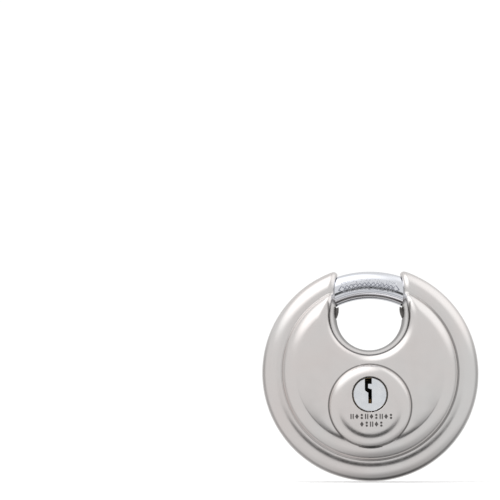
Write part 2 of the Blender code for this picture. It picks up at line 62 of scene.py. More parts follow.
# Shells
BODY_RADIUS = FRONT_BOX[1][0] / MM
SEAM_Y = (FRONT_BOX[1][1] + REAR_BOX[0][1]) / 2
FACE_DEPTH = (REAR_BOX[1][1] - SEAM_Y) / MM
BOSS_DEPTH = (SEAM_Y - FRONT_BOX[0][1]) / MM
SEAM_HALF = 0.1
WALL = 1.5
RIM_RADIUS = 6.5
BOW_RADIUS = BODY_RADIUS - RIM_RADIUS
FACE_EDGE = 27.5
FACE_FOOT_DEPTH = 8.8
FACE_LEAN = 0.30
SHOULDER = 4.5
FOOT_FILLET = 0.35
FOLD_RADIUS = 28.3
RING_POINTS = 240
BOSS_RADIUS = 13.0
BOSS_DROP = -11.2
BOSS_FLAT = 8.0
BOSS_FILLET = 0.15
THROAT_RADIUS = 10.6
THROAT_RISE = 17.8
THROAT_LEAN = radians(4.5)
PINCH_RISE = 24.0
THROAT_DRAFT = 0.19
FACE_LIP = 3.2
HORN_LIP = 1.9
LIP_BLEND = (19.0, 25.0)
PLUG_DROP = (PLUG_BOX[0][2] + PLUG_BOX[1][2]) / 2 / MM
PLUG_HOLE = 5.65
HOLE_EDGE = 0.22
HOLE_WALL = 1.1
TUNNEL_RADIUS = 4.95

# Lowest and highest roughness of the shells
SATIN = (0.17, 0.25)

# Stamped marks on the boss: the height of each row and how many marks it has
MARK_ROWS = ((-14.7, 9), (-17.1, 5))
MARK_SHIFT = 0.4
MARK_PITCH = 1.52
MARK_HEIGHT = 1.7
MARK_DEPTH = 0.2
MARK_CLEARANCE = 1.0
MARK_FLOOR = 0.86

# Shackle
ROD_RADIUS = 4.5
TIP_ANGLE = 123.0
TAIL_ANGLE = -73.0
STUD_ANGLE = -61.0
STUD_SLOT = 2.85
SLOT_SPAN = (18, 23.75)
SLOT_DEPTH = 6
BAR_CHAMFER = 0.8
BAR_STEPS = 196
BAR_SIDES = 96
PANEL_HALF = 8.6
PANEL_LOW = -1.9
PANEL_HIGH = 1.7
PANEL_PITCH = 1.45
ORNAMENT_AT = -0.35

# Openings beside the throat: the guide pads' windows, and how far out the tunnel's edge runs
PAD_LOW = 17.2
PAD_DEPTH = 1.8
HORN_REACH = 12.0
OPENING_TOP = THROAT_RISE - 2
OPENING_REACH = 2.2

# How finely the shells are drawn: steps up the throat's sides and round its bottom, points round the plug's hole,
# the width of the band drawn along the throat, and how often a surface is halved to find it
SIDE_STEP = 0.3
TURN_STEPS = 44
HOLE_POINTS = 96
THROAT_BAND = 6.0
HALVINGS = 36

# Camera, in metres and degrees, and the disc in the picture: the place of its middle, right and up from the
# picture's middle, and its radius, all as shares of the picture's width
CAMERA_DISTANCE = 0.50
CAMERA_ELEVATION = -3.5
DISC_AT = (0.2395, -0.245)
DISC_SIZE = 0.2141

# Direction, full and fading angles in degrees, and strength of each light on the tent
TENT_BASE = 0.74
TENT_LIGHTS = (
    ((-0.42, -0.26, 0.87), 14, 44, 0.75),
    ((0.62, 0.10, 0.70), 10, 40, 0.40),
    ((0.35, 0.35, -0.87), 14, 50, -0.26),
    ((-0.15, 0.35, -0.92), 14, 50, -0.12),
)

# Dark bands round the front axis: the angles at which each begins, is full, fades and ends, how far down its
# directions begin and are full, and its strength
TENT_BANDS = (
    ((11, 17, 30, 38), (0.10, 0.28), -0.68),
    ((106, 120, 138, 150), (-0.45, -0.10), -0.30),
)

LOCK_AXES = Matrix.Translation((0, SEAM_Y, 0)) @ Matrix.Rotation(pi / 2, 4, "X")
FLOOR = FRONT_BOX[0][2] - 0.0002


# ---------------------------------------------------------------- meshes


def add_object(name, mesh, matrix=LOCK_AXES):
    """Puts a mesh in the scene at a place given in the row frame."""
    obj = bpy.data.objects.new(name, mesh)
    bpy.context.collection.objects.link(obj)
    obj.matrix_world = matrix
    return obj


def mesh_from(name, points, faces, matrix=LOCK_AXES):
    """An object from points in millimetres and their faces."""
    mesh = bpy.data.meshes.new(name)
    mesh.from_pydata([(p[0] * MM, p[1] * MM, p[2] * MM) for p in points], [], faces)
    mesh.update()
    return add_object(name, mesh, matrix)


def apply_modifiers(obj):
    """Leaves the object with the mesh that its modifiers make."""
    bpy.context.view_layer.update()
    graph = bpy.context.evaluated_depsgraph_get()
    mesh = bpy.data.meshes.new_from_object(obj.evaluated_get(graph))
    obj.modifiers.clear()
    obj.data = mesh
    return obj


def cut(obj, cutter):
    """Takes the cutter out of the object, then removes the cutter."""
    modifier = obj.modifiers.new("cut", "BOOLEAN")
    modifier.operation = "DIFFERENCE"
    modifier.solver = "EXACT"
    modifier.object = cutter
    apply_modifiers(obj)
    bpy.data.objects.remove(cutter)
    return obj


def smooth(obj, degrees=32):
    """Smooth shading that keeps edges sharper than the given angle."""
    obj.data.shade_smooth()
    obj.data.set_sharp_from_angle(angle=radians(degrees))
    return obj


def face_outwards(obj):
    """Turns all faces of a closed mesh outwards."""
    work = bmesh.new()
    work.from_mesh(obj.data)
    bmesh.ops.recalc_face_normals(work, faces=work.faces)
    work.to_mesh(obj.data)
    work.free()
    return obj


def prism(name, outline, back, front):
    """A straight-sided solid over an outline."""
    count = len(outline)
    points = [(p[0], p[1], back) for p in outline] + [(p[0], p[1], front) for p in outline]
    faces = [tuple(range(count))[::-1], tuple(range(count, 2 * count))]
    faces += [(i, (i + 1) % count, count + (i + 1) % count, count + i) for i in range(count)]
    return face_outwards(mesh_from(name, points, faces))


def arc(centre, radius, start, end, steps):
    """Points along an arc, angles in degrees."""
    turns = np.radians(np.linspace(start, end, steps + 1))
    return [(centre[0] + radius * cos(a), centre[1] + radius * sin(a)) for a in turns]


# ---------------------------------------------------------------- shells


def round_join(a, b, radius):
    """Joins two solids, given as distances, with a fillet in the corner between them."""
    near = np.hypot(np.maximum(radius - a, 0), np.maximum(radius - b, 0))
    return np.maximum(radius, np.minimum(a, b)) - near


def round_meet(a, b, radius):
    """Keeps what two solids share, with the edge between them rounded."""
    near = np.hypot(np.maximum(radius + a, 0), np.maximum(radius + b, 0))
    return np.minimum(-radius, np.maximum(a, b)) + near


def throat_distance(x, y):
    """How far a point is outside the throat's outline on the seam: a U whose sides lean in up to the shackle."""
    across, up = np.abs(x), y - THROAT_RISE
    round_part = np.hypot(across, up)
    side_part = across * cos(THROAT_LEAN) + np.minimum(up, PINCH_RISE - THROAT_RISE) * sin(THROAT_LEAN)
    return np.where(up < across * tan(THROAT_LEAN), round_part, side_part) - THROAT_RADIUS


def throat_half_width(y, offset=0.0):
    """Half the throat's width at a height above its round part."""
    up = np.minimum(y, PINCH_RISE) - THROAT_RISE
    return (THROAT_RADIUS + offset - up * sin(THROAT_LEAN)) / cos(THROAT_LEAN)


def lip_radius(y):
    """The rounding of the throat's front edge: wide on the face and tighter on the horns."""
    blend = np.clip((y - LIP_BLEND[0]) / (LIP_BLEND[1] - LIP_BLEND[0]), 0, 1)
    return FACE_LIP + (HORN_LIP - FACE_LIP) * blend * blend * (3 - 2 * blend)


def boss_distance(radius, depth):
    """How far a point is outside the boss: a flat top whose edge falls as a quarter ellipse."""
    width, height = BOSS_RADIUS - BOSS_FLAT, BOSS_DEPTH - FACE_DEPTH
    out = np.maximum(radius - BOSS_FLAT, 0) / width
    up = np.maximum(depth - FACE_DEPTH, 0) / height
    return (np.hypot(out, up) - 1) * width


def shell_distance(x, y, depth, boss):
    """Signed distance to a shell's outside, all features and their rounded edges included."""
    radius = np.hypot(x, y)
    lean = cos(atan(FACE_LEAN))
    side = (radius - FACE_EDGE + (depth - FACE_FOOT_DEPTH) * FACE_LEAN) * lean
    rim = np.hypot(radius - BOW_RADIUS, depth) - RIM_RADIUS
    solid = round_join(rim, round_meet(depth - FACE_DEPTH, side, SHOULDER), FOOT_FILLET)
    if boss:
        solid = round_join(solid, boss_distance(np.hypot(x, y - BOSS_DROP), depth), BOSS_FILLET)
        solid = round_meet(solid, PLUG_HOLE - np.hypot(x, y - PLUG_DROP), HOLE_EDGE)
    wall = (THROAT_DRAFT * depth - throat_distance(x, y)) * cos(atan(THROAT_DRAFT))
    return round_meet(solid, wall, lip_radius(y))


def shell_height(x, y, boss):
    """Depth of a shell's outside at each point of the disc, found by halving."""
    low = np.zeros_like(x)
    high = np.full_like(x, BOSS_DEPTH + 1)
    for _ in range(HALVINGS):
        middle = (low + high) / 2
        inside = shell_distance(x, y, middle, boss) < 0
        low = np.where(inside, middle, low)
        high = np.where(inside, high, middle)
    return low


def throat_curve(offset):
    """The throat's U shape at a distance outside its outline, from the left horn round to the right."""
    radius = THROAT_RADIUS + offset
    lean = np.degrees(THROAT_LEAN)
    start = THROAT_RISE + radius * sin(THROAT_LEAN)
    rises = np.arange(start + SIDE_STEP, BODY_RADIUS - 0.5, SIDE_STEP)
    halves = throat_half_width(rises, offset)
    left = [(-half, y) for half, y in zip(halves[::-1], rises[::-1])]
    right = [(half, y) for half, y in zip(halves, rises)]
    return left + arc((0, THROAT_RISE), radius, 180 - lean, 360 + lean, TURN_STEPS) + right


def horn_centre():
    """The middle of the right horn's rounded corner, on the seam."""
    across = throat_half_width(BODY_RADIUS) + HORN_LIP
    return across, sqrt((BODY_RADIUS - HORN_LIP) ** 2 - across**2)


def horn_corner(side):
    """The rounded corner between the throat's edge and the rim, on the seam, from the rim inwards."""
    centre = horn_centre()
    start = np.degrees(np.arctan2(centre[1], centre[0]))
    turns = np.radians(np.linspace(start, 180, 15)[1:-1])
    low, high = np.zeros_like(turns), np.full_like(turns, 3.0)
    for _ in range(HALVINGS):
        middle = (low + high) / 2
        x, y = centre[0] + middle * np.cos(turns), centre[1] + middle * np.sin(turns)
        inside = shell_distance(x, y, 0.0, False) < 0
        low = np.where(inside, middle, low)
        high = np.where(inside, high, middle)
    return [(side * (centre[0] + t * cos(a)), centre[1] + t * sin(a)) for t, a in zip(low, turns)]


def shell_border():
    """The closed outline of a shell on the seam."""
    across, top = horn_centre()
    start = np.degrees(np.arctan2(top, across))
    step = 360 / RING_POINTS
    aligned = [step * i for i in range(int(start // step), int(-(180 + start) // step), -1)]
    turns = [start, *aligned, -180 - start]
    around = [(BODY_RADIUS * cos(radians(t)), BODY_RADIUS * sin(radians(t))) for t in turns]
    throat = [p for p in throat_curve(0.0) if p[1] < top + 0.01]
    return around + horn_corner(-1) + throat + horn_corner(1)[::-1]


def opening_depth(x, y):
    """How deep the openings in the throat's wall are: the tunnel for the shackle, and the pad's window under it."""
    out = np.hypot(x, y) - BOW_RADIUS
    tunnel = np.sqrt(np.maximum(TUNNEL_RADIUS**2 - out**2, 0))
    window = np.where((y > PAD_LOW) & (out < 0) & (y < PINCH_RISE), PAD_DEPTH, 0)
    return np.where(y > OPENING_TOP, np.maximum(tunnel, window), 0)


def open_border(border):
    """Moves the seam's points sideways into the metal to the edges of the openings, and gives each its depth."""
    at = np.array(border)
    x, y = at[:, 0], at[:, 1]
    side = np.sign(x)
    low, high = np.zeros_like(x), np.full_like(x, OPENING_REACH)
    for _ in range(HALVINGS):
        middle = (low + high) / 2
        moved = x + side * middle
        above = shell_height(moved, y, False) > opening_depth(moved, y)
        low = np.where(above, low, middle)
        high = np.where(above, middle, high)
    opened = (np.abs(x) < HORN_REACH) & (y > OPENING_TOP) & (opening_depth(x, y) > SEAM_HALF)
    x = np.where(opened, x + side * high, x)
    depth = np.where(opened, np.maximum(opening_depth(x, y), SEAM_HALF), SEAM_HALF)
    return [tuple(p) for p in np.column_stack([x, y])], depth


def shell_points(boss):
    """Rows of points over a shell: rings on its rim, face and boss, and U shapes along its throat."""
    rim = BOW_RADIUS + RIM_RADIUS * np.cos(np.radians([4, *np.arange(8, 84, 6)]))
    foot = np.arange(FACE_EDGE - 0.15, FACE_EDGE + 1.6, 0.13)
    bend_end = FACE_EDGE + 0.1
    flat = bend_end - SHOULDER * sin(atan(1 / FACE_LEAN))
    shoulder = flat + SHOULDER * np.sin(np.radians(np.arange(0, 73, 5)))
    rows = [(0, 0, radius, RING_POINTS) for radius in (*rim, *foot, *shoulder)]
    if boss:
        edge = BOSS_RADIUS + np.array([0.5, 0.25, 0.12, 0.06, 0.0, -0.06])
        dome = BOSS_FLAT + (BOSS_RADIUS - BOSS_FLAT) * np.sin(np.radians(np.arange(0, 89, 5)))
        hole = PLUG_HOLE + np.array([0.04, 0.1, 0.18, 0.3])
        rows += [(0, BOSS_DROP, radius, 128) for radius in (*edge, *dome)]
        rows += [(0, PLUG_DROP, radius, HOLE_POINTS) for radius in hole]
    points = []
    for centre_x, centre_y, radius, count in rows:
        points += arc((centre_x, centre_y), radius, 0, 360 - 360 / count, count - 1)
    points = np.array(points)
    keep = throat_distance(points[:, 0], points[:, 1]) > THROAT_BAND
    if boss:
        to_boss = np.hypot(points[:, 0], points[:, 1] - BOSS_DROP)
        to_plug = np.hypot(points[:, 0], points[:, 1] - PLUG_DROP)
        keep &= to_plug > PLUG_HOLE + 0.02
        keep &= ~((to_boss < BOSS_RADIUS + 0.4) & (np.hypot(points[:, 0], points[:, 1]) > FACE_EDGE - 3.5))
    offsets = [*np.arange(0.12, 2.7, 0.12), *np.arange(2.8, THROAT_BAND, 0.22)]
    along = np.array([p for offset in offsets for p in throat_curve(offset)])
    open_to = np.maximum(opening_depth(along[:, 0], along[:, 1]), SEAM_HALF)
    inside = shell_distance(along[:, 0], along[:, 1], open_to + 0.08, boss) < -0.02
    return np.concatenate([points[keep], along[inside]])


def shell_skin(name, boss):
    """The outside of a shell as one smooth sheet, thickened inwards."""
    border, border_depth = open_border(shell_border())
    loops = [border]
    hole_points = HOLE_POINTS if boss else 0
    if boss:
        loops.append(arc((0, PLUG_DROP), PLUG_HOLE, 0, 360 - 360 / HOLE_POINTS, HOLE_POINTS - 1))
    points = shell_points(boss)
    stamped = len(loops)
    if boss:
        for outline in boss_marks():
            loops += [outline, shrunk(outline)]
            middle = np.mean(outline, axis=0)
            points = points[np.hypot(*(points - middle).T) > MARK_CLEARANCE]
    flat = [Vector(p) for loop in loops for p in loop]
    edges, sunk = [], set()
    for number, loop in enumerate(loops):
        first = len(edges)
        edges += [(first + i, first + (i + 1) % len(loop)) for i in range(len(loop))]
        if number >= stamped and (number - stamped) % 2:
            sunk.update(range(first, first + len(loop)))
    flat += [Vector(p) for p in points]
    verts, _, faces, originals, _, _ = delaunay_2d_cdt(flat, edges, [], 0, 1e-6)
    at = np.array([tuple(v) for v in verts])
    depth = np.maximum(shell_height(at[:, 0], at[:, 1], boss), SEAM_HALF)
    for i, ids in enumerate(originals):
        first = min(ids)
        if first < len(border):
            depth[i] = border_depth[first]
        elif first < len(border) + hole_points:
            depth[i] = BOSS_DEPTH - HOLE_EDGE
        elif first in sunk:
            depth[i] -= MARK_DEPTH
    middle = np.array([at[list(f)].mean(axis=0) for f in faces])
    inside = inside_loop(middle, border)
    if boss:
        inside &= np.hypot(middle[:, 0], middle[:, 1] - PLUG_DROP) > PLUG_HOLE - 0.01
    kept = [tuple(f) for f, keep in zip(faces, inside) if keep]
    obj = mesh_from(name, np.column_stack([at, depth]), kept)
    drop_loose_points(obj)
    draw_hole_wall(obj)
    solid = obj.modifiers.new("wall", "SOLIDIFY")
    solid.thickness = WALL * MM
    solid.offset = -1
    solid.use_quality_normals = True
    return apply_modifiers(obj)


def inside_loop(points, loop):
    """Which points are inside a closed loop."""
    x, y = points.T
    inside = np.zeros(len(points), dtype=bool)
    for (ax, ay), (bx, by) in zip(loop, [*loop[1:], loop[0]]):
        if ay != by:
            crosses = (ay > y) != (by > y)
            inside ^= crosses & (x < ax + (y - ay) * (bx - ax) / (by - ay))
    return inside


def shrunk(outline):
    """The same outline, a little smaller about its middle."""
    middle = np.mean(outline, axis=0)
    return [tuple(middle + (np.array(p) - middle) * MARK_FLOOR) for p in outline]


def drop_loose_points(obj):
    """Removes points that no face uses."""
    work = bmesh.new()
    work.from_mesh(obj.data)
    loose = [v for v in work.verts if not v.link_faces]
    bmesh.ops.delete(work, geom=loose, context="VERTS")
    work.to_mesh(obj.data)
    work.free()


def draw_hole_wall(obj):
    """Draws the edge of the plug's hole straight back into a wall."""
    work = bmesh.new()
    work.from_mesh(obj.data)
    reach = (PLUG_HOLE + 0.02) * MM
    rim = [
        edge
        for edge in work.edges
        if edge.is_boundary and all(hypot(v.co.x, v.co.y - PLUG_DROP * MM) < reach for v in edge.verts)
    ]
    drawn = {}
    for edge in rim:
        loop = edge.link_loops[0]
        start, end = loop.vert, loop.link_loop_next.vert
        for vert in (start, end):
            if vert not in drawn:
                drawn[vert] = work.verts.new(vert.co - Vector((0, 0, HOLE_WALL * MM)))
        work.faces.new((end, start, drawn[start], drawn[end]))
    work.to_mesh(obj.data)
    work.free()


def boss_marks():
    """Two rows of plain bars, lozenges and dots stamped into the boss under the plug."""
    marks = []
    for row, (y, count) in enumerate(MARK_ROWS):
        for i in range(count):
            x = MARK_SHIFT + (i - (count - 1) / 2) * MARK_PITCH
            kind = (i + row) % 3
            if kind == 0:
                shapes = [bar_outline(x - 0.34, y), bar_outline(x + 0.34, y)]
            elif kind == 1:
                half, tall = 0.60, MARK_HEIGHT / 2
                shapes = [[(x - half, y), (x, y - tall), (x + half, y), (x, y + tall)]]
            else:
                shapes = [arc((x, y + side * 0.46), 0.38, 0, 324, 9) for side in (-1, 1)]
            marks += shapes
    return marks


def bar_outline(x, y):
    """An upright bar with round ends."""
    half = 0.19
    end = MARK_HEIGHT / 2 - half
    return arc((x, y + end), half, 0, 180, 5) + arc((x, y - end), half, 180, 360, 5)


def build_shells():
    """Both shells, each in place of its CAD node."""
    for name, boss in (("front_shell", True), ("rear_shell", False)):
        skin = shell_skin(f"{name}_skin", boss)
        if not boss:
            skin.matrix_world = LOCK_AXES @ Matrix.Rotation(pi, 4, "Y")
        smooth(skin)
        give(skin, satin_steel(boss))
        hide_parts(name)
        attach(skin, "case")


# ---------------------------------------------------------------- shackle


def bow_bar(name, radius, start, end, steps, sides, chamfer):
    """A round bar along the bow, with chamfered ends."""
    rings = [(angle, radius) for angle in np.linspace(start, end, steps + 1)]
    back = np.degrees(chamfer / BOW_RADIUS) * (1 if end > start else -1)
    rings[0] = (start, radius - chamfer)
    rings[-1] = (end, radius - chamfer)
    rings.insert(1, (start + back, radius))
    rings.insert(-1, (end - back, radius))
    points = []
    for angle, reach in rings:
        outward = (cos(radians(angle)), sin(radians(angle)))
        for k in range(sides):
            around = radians(360 * k / sides)
            out = BOW_RADIUS + reach * sin(around)
            points.append((outward[0] * out, outward[1] * out, reach * cos(around)))
    faces = []
    for ring in range(len(rings) - 1):
        for k in range(sides):
            a, b = ring * sides + k, ring * sides + (k + 1) % sides
            faces.append((a, b, b + sides, a + sides))
    faces.append(tuple(range(sides)))
    faces.append(tuple(range((len(rings) - 1) * sides, len(rings) * sides))[::-1])
    return face_outwards(mesh_from(name, points, faces))


def build_shackle(metal):
    """The plated bar, with its slot for the lever's stud and a shallow patterned panel across the throat."""
    bar = bow_bar("shackle_bar", ROD_RADIUS, TIP_ANGLE, TAIL_ANGLE, BAR_STEPS, BAR_SIDES, BAR_CHAMFER)
    along = (cos(radians(STUD_ANGLE)), sin(radians(STUD_ANGLE)))
    inner, outer = ((along[0] * reach, along[1] * reach) for reach in SLOT_SPAN)
    ends = arc(outer, STUD_SLOT, STUD_ANGLE - 90, STUD_ANGLE + 90, 12)
    ends += arc(inner, STUD_SLOT, STUD_ANGLE + 90, STUD_ANGLE + 270, 4)
    cut(bar, prism("stud slot", ends, -SLOT_DEPTH, SLOT_DEPTH))
    smooth(bar, 40)
    give(bar, metal)
    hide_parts("shackle")
    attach(bar, "shackle")


# ---------------------------------------------------------------- materials


def new_material(name, colour, roughness, metallic=1.0):
    """A Principled material, and a short way to its nodes."""
    material = bpy.data.materials.new(name)
    material.use_nodes = True
    tree = material.node_tree
    shader = tree.nodes["Principled BSDF"]
    shader.inputs["Base Color"].default_value = (*colour, 1.0)
    shader.inputs["Roughness"].default_value = roughness
    shader.inputs["Metallic"].default_value = metallic
    return material, tree, shader


def give(obj, material):
    """Puts one material on an object."""
    obj.data.materials.clear()
    obj.data.materials.append(material)


def noise(tree, scale, detail=3.0, stretch=(1, 1, 1)):
    """Noise in the object's own axes, in cycles per metre."""
    coords = tree.nodes.new("ShaderNodeTexCoord")
    mapping = tree.nodes.new("ShaderNodeMapping")
    mapping.inputs["Scale"].default_value = stretch
    texture = tree.nodes.new("ShaderNodeTexNoise")
    texture.inputs["Scale"].default_value = scale
    texture.inputs["Detail"].default_value = detail
    tree.links.new(coords.outputs["Object"], mapping.inputs["Vector"])
    tree.links.new(mapping.outputs["Vector"], texture.inputs["Vector"])
    return texture.outputs["Fac"]


def spread(tree, value, low, high):
    """Maps a noise's middle range to low to high."""
    node = tree.nodes.new("ShaderNodeMapRange")
    node.inputs["From Min"].default_value = 0.3
    node.inputs["From Max"].default_value = 0.7
    node.inputs["To Min"].default_value = low
    node.inputs["To Max"].default_value = high
    tree.links.new(value, node.inputs["Value"])
    return node.outputs["Result"]


def mix(tree, mask, first, second):
    """Goes from one colour to another by a mask; each colour is a socket or fixed."""
    node = tree.nodes.new("ShaderNodeMix")
    node.data_type = "RGBA"
    for name, colour in (("A", first), ("B", second)):
        if isinstance(colour, tuple):
            node.inputs[name].default_value = (*colour, 1.0)
        else:
            tree.links.new(colour, node.inputs[name])
    tree.links.new(mask, node.inputs["Factor"])
    return node.outputs["Result"]


def calc(tree, operation, first, second):
    """A Math node on sockets or numbers."""
    node = tree.nodes.new("ShaderNodeMath")
    node.operation = operation
    for socket, value in zip(node.inputs, (first, second)):
        if isinstance(value, (int, float)):
            socket.default_value = value
        else:
            tree.links.new(value, socket)
    return node.outputs["Value"]


def ramp(tree, value, low, high, strength=1.0):
    """Smoothly 0 to strength as a value goes from low to high."""
    node = tree.nodes.new("ShaderNodeMapRange")
    node.interpolation_type = "SMOOTHSTEP"
    node.inputs["From Min"].default_value = low
    node.inputs["From Max"].default_value = high
    node.inputs["To Max"].default_value = strength
    tree.links.new(value, node.inputs["Value"])
    return node.outputs["Result"]


def bumps(tree, shader, layers):
    """Adds bump layers, each a height and its depth in metres."""
    normal = None
    for height, depth in layers:
        bump = tree.nodes.new("ShaderNodeBump")
        bump.inputs["Strength"].default_value = 1.0
        bump.inputs["Distance"].default_value = depth
        tree.links.new(height, bump.inputs["Height"])
        if normal:
            tree.links.new(normal, bump.inputs["Normal"])
        normal = bump.outputs["Normal"]
    tree.links.new(normal, shader.inputs["Normal"])


def object_axes(tree):
    """The object's own X, Y and Z in millimetres, and its distance from the Z axis."""
    coords = tree.nodes.new("ShaderNodeTexCoord")
    parts = tree.nodes.new("ShaderNodeSeparateXYZ")
    tree.links.new(coords.outputs["Object"], parts.inputs[0])
    x, y, z = (calc(tree, "MULTIPLY", parts.outputs[axis], 1 / MM) for axis in "XYZ")
    return x, y, z, length(tree, x, y)


def length(tree, x, y):
    """The length of a flat vector."""
    total = calc(tree, "ADD", calc(tree, "MULTIPLY", x, x), calc(tree, "MULTIPLY", y, y))
    return calc(tree, "SQRT", total, 0.0)


def near(tree, value, at, half, soft):
    """1 where a value is within half of a place, fading over a soft edge."""
    gap = calc(tree, "ABSOLUTE", calc(tree, "SUBTRACT", value, at), 0.0)
    return ramp(tree, gap, half + soft, half)


def both(tree, *masks):
    """The product of several masks."""
    total = masks[0]
    for mask in masks[1:]:
        total = calc(tree, "MULTIPLY", total, mask)
    return total


def strongest(tree, *masks):
    """The largest of several masks."""
    total = masks[0]
    for mask in masks[1:]:
        total = calc(tree, "MAXIMUM", total, mask)
    return total


def painted_shade_and_weld_tint(tree, boss_side):
    """Where a shell is darkened: painted shade in the folds of its pressing and in the stamped marks, and the weld
    tint with painted shade on the throat's walls by the seam.
    """
    x, y, z, radius = object_axes(tree)
    to_boss = length(tree, x, calc(tree, "SUBTRACT", y, BOSS_DROP))
    to_plug = length(tree, x, calc(tree, "SUBTRACT", y, PLUG_DROP))
    below = calc(tree, "MINIMUM", calc(tree, "SUBTRACT", y, THROAT_RISE), 0.0)
    to_throat = length(tree, x, below)
    # Painted shade: thin dark lines in the face's foot fold, round the boss's foot and along the throat's lip, and
    # dark floors in the stamped marks.
    foot = both(tree, near(tree, radius, FOLD_RADIUS, 0.14, 0.36), ramp(tree, z, 7.6, 7.0))
    boss = both(tree, near(tree, to_boss, BOSS_RADIUS + 0.08, 0.10, 0.30), ramp(tree, z, 11.0, 11.5))
    lip = both(tree, near(tree, z, 10.1, 0.15, 0.45), ramp(tree, to_throat, 13.6, 13.0))
    marks = both(
        tree,
        ramp(tree, z, BOSS_DEPTH - 0.09, BOSS_DEPTH - 0.13),
        ramp(tree, to_boss, 9.0, 8.9),
        ramp(tree, to_plug, PLUG_HOLE + 0.3, PLUG_HOLE + 0.35),
    )
    # The weld tint, with painted shade on top: the throat's walls darken towards the seam.
    weld = both(tree, ramp(tree, z, 7.0, 2.5), ramp(tree, radius, 30.5, 29.0))
    # Painted shade: the line in the foot's fold grows darker towards the lower right, away from the light.
    lower_right = calc(tree, "SUBTRACT", calc(tree, "MULTIPLY", x, 0.75), calc(tree, "MULTIPLY", y, 0.35))
    shade_toward_lower_right = calc(tree, "ADD", ramp(tree, lower_right, 3.0, 12.0, 0.40), 0.22)
    shared = strongest(
        tree,
        calc(tree, "MULTIPLY", foot, shade_toward_lower_right),
        calc(tree, "MULTIPLY", lip, 0.72),
        calc(tree, "MULTIPLY", weld, 0.95),
    )
    if not boss_side:
        return shared
    return strongest(tree, shared, calc(tree, "MULTIPLY", boss, 0.75), calc(tree, "MULTIPLY", marks, 0.92))


def satin_steel(boss_side):
    """Fine satin stainless steel: a dense short grain, soft cloudiness, painted shade in the folds and stamped
    marks, and the weld tint with painted shade in the throat.
    """
    material, tree, shader = new_material("satin stainless", (0.80, 0.78, 0.77), 0.25)
    cloud = spread(tree, noise(tree, 48, 4), 0.0, 1.0)
    plain_colour = mix(tree, cloud, (0.82, 0.775, 0.76), (0.80, 0.795, 0.79))
    # Painted shade and the weld tint take the colour towards this dark grey.
    dark = (0.10, 0.092, 0.088)
    tree.links.new(mix(tree, painted_shade_and_weld_tint(tree, boss_side), plain_colour, dark), shader.inputs["Base Color"])
    grain = noise(tree, 3200, 2, (1, 0.22, 1))
    tree.links.new(spread(tree, noise(tree, 260, 4), SATIN[0], SATIN[1]), shader.inputs["Roughness"])
    bumps(tree, shader, [(grain, 0.0000007)])
    return material


def shackle_panel(tree):
    """The panel rolled into the bar where it crosses the throat: its field, and the ornament on it."""
    x, y, z, radius = object_axes(tree)
    turn = calc(tree, "ARCTAN2", x, y)
    along = calc(tree, "MULTIPLY", turn, BOW_RADIUS)
    across = calc(tree, "SUBTRACT", radius, BOW_RADIUS)
    side = calc(tree, "ABSOLUTE", along, 0.0)
    front = ramp(tree, z, 2.0, 2.6)
    middle = (PANEL_LOW + PANEL_HIGH) / 2
    field = both(
        tree,
        near(tree, across, middle, (PANEL_HIGH - PANEL_LOW) / 2 - 0.1, 0.1),
        ramp(tree, side, PANEL_HALF + 0.1, PANEL_HALF),
        front,
    )
    phase = calc(tree, "PINGPONG", calc(tree, "ABSOLUTE", along, 0.0), PANEL_PITCH / 2)
    rise = calc(tree, "ABSOLUTE", calc(tree, "SUBTRACT", across, ORNAMENT_AT), 0.0)
    lozenge = calc(tree, "ADD", phase, rise)
    outline = both(tree, near(tree, lozenge, PANEL_PITCH / 2, 0.08, 0.14), ramp(tree, rise, 0.85, 0.75), field)
    chevron = calc(tree, "SUBTRACT", calc(tree, "MULTIPLY", rise, 1.3), calc(tree, "SUBTRACT", 10.1, side))
    ends = both(tree, near(tree, chevron, 0.0, 0.16, 0.14), ramp(tree, rise, 1.15, 1.0), front)
    line = both(tree, near(tree, across, PANEL_LOW - 0.4, 0.05, 0.16), front)
    return field, strongest(tree, outline, ends), line


def chrome():
    """Bright plating over ground steel, with a rolled panel of stipple and lozenges where it crosses the throat."""
    material, tree, shader = new_material("chrome plate", (0.86, 0.885, 0.93), 0.1)
    field, ornament, line = shackle_panel(tree)
    stipple = ramp(tree, noise(tree, 2600, 2), 0.5, 0.6)
    dots = both(tree, field, stipple)
    marks = strongest(tree, calc(tree, "MULTIPLY", dots, 0.42), calc(tree, "MULTIPLY", ornament, 0.75))
    marks = strongest(tree, marks, calc(tree, "MULTIPLY", line, 0.45))
    cloud = spread(tree, noise(tree, 150, 3), 0.0, 1.0)
    plain_colour = mix(tree, cloud, (0.84, 0.87, 0.93), (0.88, 0.90, 0.945))
    tree.links.new(mix(tree, marks, plain_colour, (0.12, 0.13, 0.19)), shader.inputs["Base Color"])
    tree.links.new(spread(tree, noise(tree, 500, 4), 0.08, 0.15), shader.inputs["Roughness"])
    sunk = calc(tree, "SUBTRACT", calc(tree, "MULTIPLY", field, -1.0), calc(tree, "MULTIPLY", ornament, 0.6))
    bumps(tree, shader, [(noise(tree, 1500, 3), 0.000001), (sunk, 0.00003), (dots, 0.000012)])
    return material


